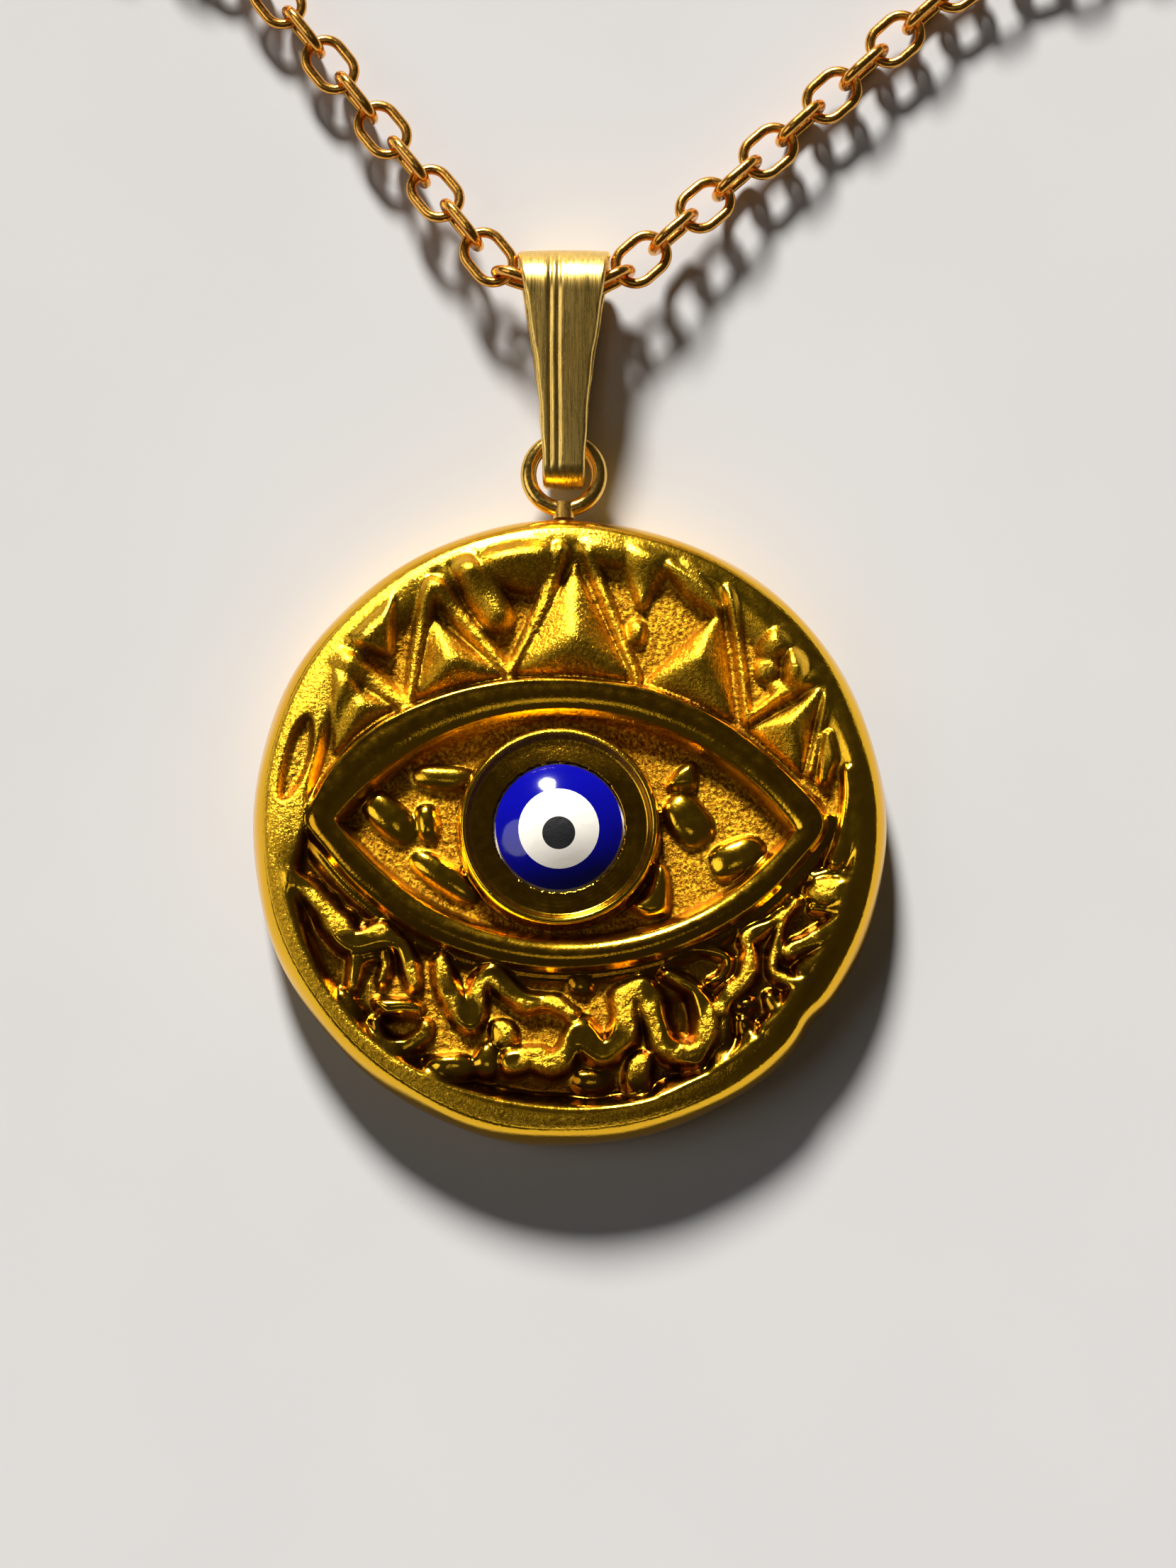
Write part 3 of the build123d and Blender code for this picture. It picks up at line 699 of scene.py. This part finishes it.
def sculpt():
    """The medallion's face: heights, where it is sandy, and where shade is painted into its colour."""
    z, sand, frost, rise = field_and_rim()
    z, sand, in_leaf = press_leaf(z, sand)
    outer_d = signed_distance(curve_through(ALMOND_OUTER, True))
    inner_d = signed_distance(outline(ALMOND_INNER))
    z, sand, on_ridge, across = raise_almond(z, sand, outer_d, inner_d)
    z, sand = lay_eye_floor(z, sand, inner_d)
    r = np.hypot(GX / FACE_SCALE - IRIS[0], GY / FACE_SCALE - IRIS[1])
    z, sand = raise_iris(z, sand, r)

    # a casting has no knife edges: soften it, then leave the sand on top
    z = np.where(r < IRIS_OUTER + 0.1, z, blur(z, CAST_BLUR))
    sand = blur(sand, SAND_BLUR)
    # painted shade: the further a point lies below its surroundings, the darker its colour is painted
    low = blur(z, HOLLOW_BLUR) - z
    painted_shade = np.clip(low / 0.24, 0, 1)
    # painted shade: the lower field is painted the darkest, apart from its crests
    lower = smooth_step((-GY - 2.2) / 2.0) * (1 - smooth_step((RADIUS - 11.3) / 0.6)) * (outer_d < 0)
    painted_shade = np.maximum(painted_shade, lower * (0.85 - 1.1 * np.clip(-low / 0.18, 0, 1)))
    # painted shade in the leaf pressed into the rim; all the painted shade is lighter where it is sandy
    painted_shade = np.maximum(painted_shade, 0.5 * in_leaf) * (1 - 0.45 * sand)
    # a painted dark reflection: the iris's dish is painted dark all round
    in_dish = (r < IRIS_INNER) & (r > SEAT_R)
    painted_shade = np.where(in_dish, 0.55 + 0.1 * FINE, painted_shade)
    # painted shade on the almond ridge, on all but its inner edge
    painted_shade = np.where(on_ridge, np.maximum(painted_shade, 0.45 * smooth_step((0.85 - across) / 0.3)), painted_shade)
    z = z + STIPPLE_HEIGHT * sand * STIPPLE + 0.006 * FINE
    satin = np.maximum(smooth_step((RADIUS - 11.2) / 0.5), LEFT * rise) * (1 - in_leaf)
    satin = 0.5 * satin * smooth_step(0.5 - np.cos(ANGLE - 0.5))
    sand = np.maximum(sand, np.maximum(frost, satin) * ~on_ridge)
    return z, sand, blur(painted_shade, SHADE_BLUR)


def sample(values, x, y):
    """Bilinear values of a grid at points."""
    u = np.clip((x + REACH) / GRID, 0, values.shape[1] - 2)
    v = np.clip((y + REACH) / GRID, 0, values.shape[0] - 2)
    i = u.astype(int)
    j = v.astype(int)
    a = u - i
    b = v - j
    low = values[j, i] * (1 - a) + values[j, i + 1] * a
    high = values[j + 1, i] * (1 - a) + values[j + 1, i + 1] * a
    return low * (1 - b) + high * b


def disc_points(count):
    """A square lattice pulled onto the unit disc without stretching any part of it much."""
    line = np.linspace(-1, 1, count)
    u, v = np.meshgrid(line, line)
    wide = np.abs(u) >= np.abs(v)
    with np.errstate(divide="ignore", invalid="ignore"):
        t_wide = np.where(u == 0, 0, v / u) * math.pi / 4
        t_tall = math.pi / 2 - np.where(v == 0, 0, u / v) * math.pi / 4
    radius = np.where(wide, u, v)
    turn = np.where(wide, t_wide, t_tall)
    return radius * np.cos(turn), radius * np.sin(turn)


def make_mesh(name, points, faces, material, body):
    """An object from points in millimetres and faces, riding on a body."""
    mesh = bpy.data.meshes.new(name)
    mesh.from_pydata((np.asarray(points) * MM).tolist(), [], faces)
    mesh.validate()
    mesh.update()
    mesh.shade_smooth()
    mesh.materials.append(material)
    piece = bpy.data.objects.new(name, mesh)
    bpy.context.collection.objects.link(piece)
    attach(piece, body)
    return piece


def paint(piece, name, values):
    """Stores one number for each point of a mesh."""
    layer = piece.data.attributes.new(name, "FLOAT", "POINT")
    layer.data.foreach_set("value", np.asarray(values, np.float32))


# The side and back, from the edge of the face round to the middle of the back: share of the
# radius, and height.
SIDE = (
    (0.962, 2.66), (0.974, 2.50), (0.985, 2.26), (0.993, 1.96), (0.999, 1.62), (1.0, 1.28), (0.997, 0.92),
    (0.989, 0.58), (0.976, 0.29), (0.957, 0.10), (0.935, 0.02), (0.90, 0.0), (0.82, 0.0),
    (0.72, 0.0), (0.60, 0.0), (0.47, 0.0), (0.34, 0.0), (0.22, 0.0), (0.11, 0.0), (0.03, 0.0),
)
FACE_SHARE = 0.95  # how much of the radius the sculpted face takes
FACE_POINTS = 420  # along each side of its lattice
EDGE_Z = 2.75  # the face's usual height at its edge


def make_medallion(material, count):
    """The whole casting: the sculpted face, the rounded side and the flat back."""
    z, sand, painted_shade = sculpt()
    ux, uy = disc_points(count)
    turn = np.arctan2(uy, ux)
    edge = edge_radius(turn) * FACE_SHARE
    x = ux * edge
    y = uy * edge
    at = (x * FACE_SCALE, y * FACE_SCALE)
    points = [np.column_stack([x.ravel(), y.ravel(), sample(z, *at).ravel()])]
    marks = [np.column_stack([sample(sand, *at).ravel(), sample(painted_shade, *at).ravel()])]
    index = np.arange(count * count).reshape(count, count)
    quads = np.column_stack([
        index[:-1, :-1].ravel(), index[:-1, 1:].ravel(), index[1:, 1:].ravel(), index[1:, :-1].ravel()
    ])
    loop = np.concatenate([index[0, :-1], index[:-1, -1], index[-1, :0:-1], index[:0:-1, 0]])
    around = turn.ravel()[loop]
    start_z = points[0][loop, 2]
    faces = [quads]
    previous = loop
    total = count * count
    for share, height in SIDE:
        r = edge_radius(around) * share
        fade = smooth_step((2.9 - height) / 0.9)
        level = height + (start_z - EDGE_Z) * (1 - fade) if height > 1.9 else height
        if 0.2 < height < 2.4:
            r = r + 0.03 * np.sin(9 * around + 2 * height) * np.sin(5 * around)
        points.append(np.column_stack([r * np.cos(around), r * np.sin(around), level + 0 * r]))
        marks.append(np.column_stack([0 * r, 0 * r]))
        ring = np.arange(total, total + len(loop))
        total += len(loop)
        faces.append(np.column_stack([previous, ring, np.roll(ring, -1), np.roll(previous, -1)]))
        previous = ring
    points = np.vstack(points)
    marks = np.vstack(marks)
    face_list = np.vstack(faces).tolist() + [previous.tolist()[::-1]]
    piece = make_mesh("medallion", points, face_list, material, "medallion")
    paint(piece, "sand", marks[:, 0])
    # the second mark is the painted shade, stored for the material
    paint(piece, "painted_shade", marks[:, 1])
    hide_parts("medallion_casting")
    return piece


# ---------------------------------------------------------------- the bail
BAIL_X = -0.2
STRAP = 0.35
# Each fold: its centre's Y and Z, and its outer radius.
LOW_FOLD = (14.8, 1.5, 1.1)
TOP_FOLD = (21.5, 1.85, 1.85)
# The strap's width at places along Y.
BAIL_WIDTHS = (
    (13.7, 1.68), (15.0, 1.72), (16.3, 1.85), (17.6, 2.06), (18.9, 2.35), (20.2, 2.78), (21.7, 3.25),
    (23.35, 3.78),
)
# The two grooves along the strap's front: where they are in X, and their size.
GROOVES = (-0.55, -0.22)
GROOVE_HALF = 0.085
GROOVE_DEPTH = 0.07
GROOVE_ENDS = (14.1, 23.2)
STRAP_CROWN = 0.05


def bail_path(count):
    """Points round the strap's middle line, seen from the side, and the outward directions."""
    y1, z1, r1 = LOW_FOLD
    y2, z2, r2 = TOP_FOLD
    r1 -= STRAP / 2
    r2 -= STRAP / 2
    gap = math.hypot(y2 - y1, z2 - z1)
    lean = math.atan2(z2 - z1, y2 - y1)
    flare = math.asin((r2 - r1) / gap)
    top = lean + math.pi / 2 + flare
    bottom = lean - math.pi / 2 - flare
    dense = []
    for centre, r, start, end in (
        ((y1, z1), r1, top, bottom + 2 * math.pi),
        ((y2, z2), r2, bottom, top),
    ):
        for a in np.linspace(start, end, 120):
            dense.append((centre[0] + r * math.cos(a), centre[1] + r * math.sin(a)))
    dense = np.array(dense + dense[:1])
    run = np.concatenate([[0], np.cumsum(np.hypot(*np.diff(dense, axis=0).T))])
    at = np.linspace(0, run[-1], count, endpoint=False)
    path = np.column_stack([np.interp(at, run, dense[:, 0]), np.interp(at, run, dense[:, 1])])
    along = np.roll(path, -1, axis=0) - np.roll(path, 1, axis=0)
    along /= np.hypot(*along.T)[:, None]
    out = np.column_stack([along[:, 1], -along[:, 0]])
    middle = path.mean(axis=0)
    if ((path - middle) * out).sum() < 0:
        out = -out
    return path, out


def make_bail(material, around=420, across=72):
    """The folded strap: flared towards its top, with rounded edges and two grooves in front."""
    path, out = bail_path(around)
    even = np.linspace(-1, 1, across)
    spread = 0.35 * np.sin(even * math.pi / 2) + 0.65 * even
    soft = STRAP * 0.45
    points = []
    for (y, z), (oy, oz) in zip(path, out):
        half = np.interp(y, *zip(*BAIL_WIDTHS)) / 2
        half = half * (1 + 0.008 * math.sin(1.7 * y)) + 0.012 * math.sin(3.1 * y + z)
        x = spread * half
        roll = np.clip((np.abs(x) - (half - soft)) / soft, 0, 1)
        thick = STRAP / 2 * np.sqrt(np.clip(1 - roll**2, 0, 1))
        crown = STRAP_CROWN * (1 - (x / half) ** 2)
        groove = np.zeros_like(x)
        if oz > 0:
            for at in GROOVES:
                bend = at + 0.012 * math.sin(0.9 * y)
                groove += GROOVE_DEPTH * np.exp(-(((x - bend) / GROOVE_HALF) ** 2))
            groove *= smooth_step((y - GROOVE_ENDS[0]) / 0.8) * smooth_step((GROOVE_ENDS[1] - y) / 0.8)
        outer = thick - STRAP_CROWN + crown - groove
        row_out = np.column_stack([BAIL_X + x, y + oy * outer, z + oz * outer])
        row_in = np.column_stack([BAIL_X + x, y - oy * thick, z - oz * thick])[::-1]
        points.append(np.vstack([row_out, row_in[1:-1]]))
    ring = points[0].shape[0]
    index = np.arange(around * ring).reshape(around, ring)
    right = np.roll(index, -1, axis=1)
    faces = np.stack([index, right, np.roll(right, -1, axis=0), np.roll(index, -1, axis=0)], axis=-1)
    piece = make_mesh("bail", np.vstack(points), faces.reshape(-1, 4).tolist(), material, "bail")
    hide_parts("bail_strap")
    return piece


# ---------------------------------------------------------------- the chain past the first links
LINK_LENGTH, LINK_WIDTH, LINK_WIRE, LINK_PITCH = 2.64, 1.98, 0.42, 1.74
CHAIN_Z = 1.0
COIL_OUTER, COIL_SPACING, COIL_WIDTH, COIL_LEAD = 13.4, 2.04, 2.0, 1.37
TURN_POINTS = 16
LINK_AROUND, LINK_SIDES = 30, 10
# Each side: its body, the angle where the coil starts, which way it winds, its turns, the way on to its far
# end as radius and angle, whether its first link is on edge, and what is on the end.
COILS = {
    "left": ("left_strand", 250.0, -1, 3.06, [(6.9, 209), (6.6, 193), (5.9, 180), (5.3, 176)], 0,
             "connector", ["clasp_ring", "clasp_body", "clasp_lever", "clasp_rivet", "clasp_spring"]),
    "right": ("chain", -67.6, 1, 3.06, [(7.0, -31), (6.8, -20), (6.3, -13), (5.7, -11)], 1,
              "fitting", ["end_ring"]),
}


def link_shape(around, sides):
    """An oval link of round wire, lying flat about the origin, its length along X."""
    half = LINK_LENGTH / 2 - LINK_WIRE / 2
    bend = LINK_WIDTH / 2 - LINK_WIRE / 2
    straight = half - bend
    line = []
    for i in range(around):
        a = 2 * math.pi * i / around
        shift = straight * math.tanh(3 * math.cos(a))
        line.append((shift + bend * math.cos(a), bend * math.sin(a), 0.0))
    p = np.array(line)
    along = np.roll(p, -1, axis=0) - np.roll(p, 1, axis=0)
    along /= np.linalg.norm(along, axis=1)[:, None]
    out = np.column_stack([along[:, 1], -along[:, 0], 0 * along[:, 0]])
    turn = 2 * np.pi * np.arange(sides) / sides
    rings = [
        at + LINK_WIRE / 2 * (np.outer(np.cos(turn), o) + np.outer(np.sin(turn), (0, 0, 1)))
        for at, o in zip(p, out)
    ]
    index = np.arange(around * sides).reshape(around, sides)
    ahead = np.roll(index, -1, axis=1)
    faces = np.stack([index, np.roll(index, -1, axis=0), np.roll(ahead, -1, axis=0), ahead], axis=-1)
    return np.vstack(rings), faces.reshape(-1, 4)


def spiral(centre, start_angle, wind, turns, tail):
    """A coil's route wound inwards from where its strand enters it, and on to its far end."""
    heading = math.radians(start_angle + 90 * wind)
    first = (centre[0] + COIL_OUTER * math.cos(math.radians(start_angle)),
             centre[1] + COIL_OUTER * math.sin(math.radians(start_angle)))
    exit_point = (first[0] - COIL_LEAD * math.cos(heading), first[1] - COIL_LEAD * math.sin(heading))
    places = [(COIL_OUTER - COIL_SPACING * t, start_angle + wind * 360 * t)
              for t in np.arange(1, int(TURN_POINTS * turns) + 1) / TURN_POINTS]
    route = [exit_point, first]
    for r, angle in places + tail:
        a = math.radians(angle)
        route.append((centre[0] + r * math.cos(a), centre[1] + r * math.sin(a)))
    return [(x, y, CHAIN_Z) for x, y in route]


def nurbs_line(points):
    """Points along the smooth line that a NURBS spline makes of control points, in millimetres."""
    data = bpy.data.curves.new("route", "CURVE")
    data.dimensions = "3D"
    data.resolution_u = 24
    spline = data.splines.new("NURBS")
    spline.points.add(len(points) - 1)
    for point, at in zip(spline.points, points):
        point.co = (at[0] * MM, at[1] * MM, at[2] * MM, 1)
    spline.order_u = 3
    spline.use_endpoint_u = True
    holder = bpy.data.objects.new("route", data)
    bpy.context.collection.objects.link(holder)
    bpy.context.view_layer.update()
    mesh = bpy.data.meshes.new_from_object(holder)
    line = np.array([v.co for v in mesh.vertices]) / MM
    bpy.data.objects.remove(holder)
    bpy.data.curves.remove(data)
    bpy.data.meshes.remove(mesh)
    return line


def make_links(name, line, material, body, first_turn):
    """Links strung along a line, every other one on edge, each with a little play."""
    run = np.concatenate([[0], np.cumsum(np.linalg.norm(np.diff(line, axis=0), axis=1))])
    count = int((run[-1] - 0.3) / LINK_PITCH)
    shape, shape_faces = link_shape(LINK_AROUND, LINK_SIDES)
    points = []
    faces = []
    for i in range(count):
        at = (i + 0.5) * run[-1] / count
        here = np.array([np.interp(at, run, line[:, k]) for k in range(3)])
        before = np.array([np.interp(at - 0.6, run, line[:, k]) for k in range(3)])
        after = np.array([np.interp(at + 0.6, run, line[:, k]) for k in range(3)])
        along = (after - before) / np.linalg.norm(after - before)
        lean = RNG.uniform(-0.12, 0.12)
        flat = (i + first_turn) % 2 == 0
        tilt = (0.10 if flat else math.pi / 2 - 0.12) + lean
        side = np.cross((0, 0, 1), along)
        side /= np.linalg.norm(side)
        up = np.cross(along, side)
        wide = side * math.cos(tilt) + up * math.sin(tilt)
        tall = np.cross(along, wide)
        here = here + np.array([0, 0, RNG.uniform(-0.02, 0.02)])
        faces.append(shape_faces + len(points) * len(shape))
        points.append(here + shape @ np.array([along, wide, tall]))
    piece = make_mesh(name, np.vstack(points), np.vstack(faces).tolist(), material, body)
    return piece, run[-1]


def make_coils(material):
    """The rest of the chain: each strand goes on into a flat coil of real links."""
    for side, (body, start_angle, wind, turns, tail, first_turn, far_end, fittings) in COILS.items():
        low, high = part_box(f"chain_coil_{side}")
        rim = COIL_OUTER + COIL_WIDTH / 2
        centre = ((low.x + high.x) / 2 / MM, high.y / MM - rim)
        route = spiral(centre, start_angle, wind, turns, tail)
        line = nurbs_line(route)
        piece, length = make_links(f"chain_{side}", line, material, body, first_turn)
        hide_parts(f"chain_coil_{side}")


# ---------------------------------------------------------------- the studio
FLOOR_DROP = 0.03 * MM
FLOOR_R = 3.5
FLOOR_RISE = 0.19  # at its far edge, so that low views end on the floor
FLOOR_RINGS = 24
FLOOR_SIDES = 96


def make_floor():
    """A pale floor of rings about the origin."""
    n = Nodes("floor")
    cloth = n.noise(90, 3, 0.5)
    colour = n.mix(cloth, (0.47, 0.47, 0.475, 1), (0.44, 0.44, 0.45, 1))
    material = n.surface(Base_Color=colour, Roughness=0.9)
    n.shader.inputs["Specular IOR Level"].default_value = 0.0
    turn = 2 * np.pi * np.arange(FLOOR_SIDES) / FLOOR_SIDES
    points = []
    for share in np.linspace(0.01, 1, FLOOR_RINGS) ** 2:
        ring = np.column_stack([np.cos(turn), np.sin(turn), 0 * turn]) * share * FLOOR_R
        points.append(ring + (0, 0, FLOOR_RISE * share**4 - FLOOR_DROP))
    index = np.arange(FLOOR_RINGS * FLOOR_SIDES).reshape(FLOOR_RINGS, FLOOR_SIDES)
    ahead = np.roll(index, -1, axis=1)
    faces = np.stack([index[:-1], index[1:], ahead[1:], ahead[:-1]], axis=-1).reshape(-1, 4).tolist()
    mesh = bpy.data.meshes.new("floor")
    mesh.from_pydata(np.vstack(points).tolist(), [], [index[0].tolist()] + faces)
    mesh.shade_smooth()
    mesh.materials.append(material)
    floor = bpy.data.objects.new("floor", mesh)
    bpy.context.collection.objects.link(floor)


def add_light(name, azimuth, elevation, spread, power, colour):
    """A soft, even light from far off, with angles in degrees; azimuth 0 is beyond the top edge."""
    data = bpy.data.lights.new(name, "SUN")
    data.angle = math.radians(spread)
    data.energy = power
    data.color = colour
    light = bpy.data.objects.new(name, data)
    bpy.context.collection.objects.link(light)
    a = math.radians(azimuth)
    e = math.radians(elevation)
    light.location = (math.sin(a) * math.cos(e), math.cos(a) * math.cos(e), math.sin(e))
    light.rotation_mode = "QUATERNION"
    light.rotation_quaternion = light.location.to_track_quat("Z", "Y")


def make_world(strength, colour):
    """A dim, even surrounding."""
    world = bpy.data.worlds.new("studio")
    world.use_nodes = True
    background = world.node_tree.nodes["Background"]
    background.inputs["Color"].default_value = (*colour, 1)
    background.inputs["Strength"].default_value = strength
    bpy.context.scene.world = world


# ---------------------------------------------------------------- the whole scene
def finish_node(name, material):
    """Gives a CAD node its material."""
    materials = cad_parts[name].data.materials
    materials.clear()
    materials.append(material)


make_camera()
chain_gold = wire_gold("chain_gold", (0.95, 0.50, 0.10, 1), (0.78, 0.34, 0.05, 1), 0.16, 0.28)
ring_gold = wire_gold("ring_gold", (0.93, 0.60, 0.14, 1), (0.82, 0.47, 0.08, 1), 0.14, 0.26)
solder_gold = wire_gold("solder_gold", (0.95, 0.58, 0.13, 1), (0.80, 0.42, 0.07, 1), 0.22, 0.36)
clasp_gold = wire_gold("clasp_gold", (0.92, 0.58, 0.16, 1), (0.82, 0.46, 0.09, 1), 0.14, 0.26)
finishes = {
    "hanging_ring": ring_gold,
    "ring_solder": solder_gold,
    "eye_cement": cement(),
    "eye_base_blue": glass("glass_blue", (0.002, 0.002, 0.26, 1), (0.001, 0.001, 0.18, 1), 0.10),
    "eye_white": glass("glass_white", (0.80, 0.78, 0.72, 1), (0.70, 0.67, 0.60, 1), 0.12),
    "eye_pupil": glass("glass_black", (0.002, 0.002, 0.003, 1), (0.006, 0.006, 0.008, 1), 0.45, True),
    "clasp_spring": spring_steel(),
}
for node_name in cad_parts:
    if node_name.startswith("link_") or node_name == "end_ring":
        finish_node(node_name, chain_gold)
    elif node_name in finishes:
        finish_node(node_name, finishes[node_name])
    elif node_name.startswith("clasp_"):
        finish_node(node_name, clasp_gold)

make_medallion(cast_gold(), FACE_POINTS)
make_bail(bail_gold())
make_coils(chain_gold)
make_floor()
add_light("key", -13, 30, 12, 9.4, (1.0, 0.97, 0.92))
add_light("left", -95, 42, 38, 0.42, (1.0, 0.98, 0.95))
add_light("front", 180, 76, 14, 0.028, (1.0, 0.97, 0.93))
make_world(0.03, (1.0, 0.92, 0.82))
bpy.context.scene.view_settings.view_transform = "Standard"
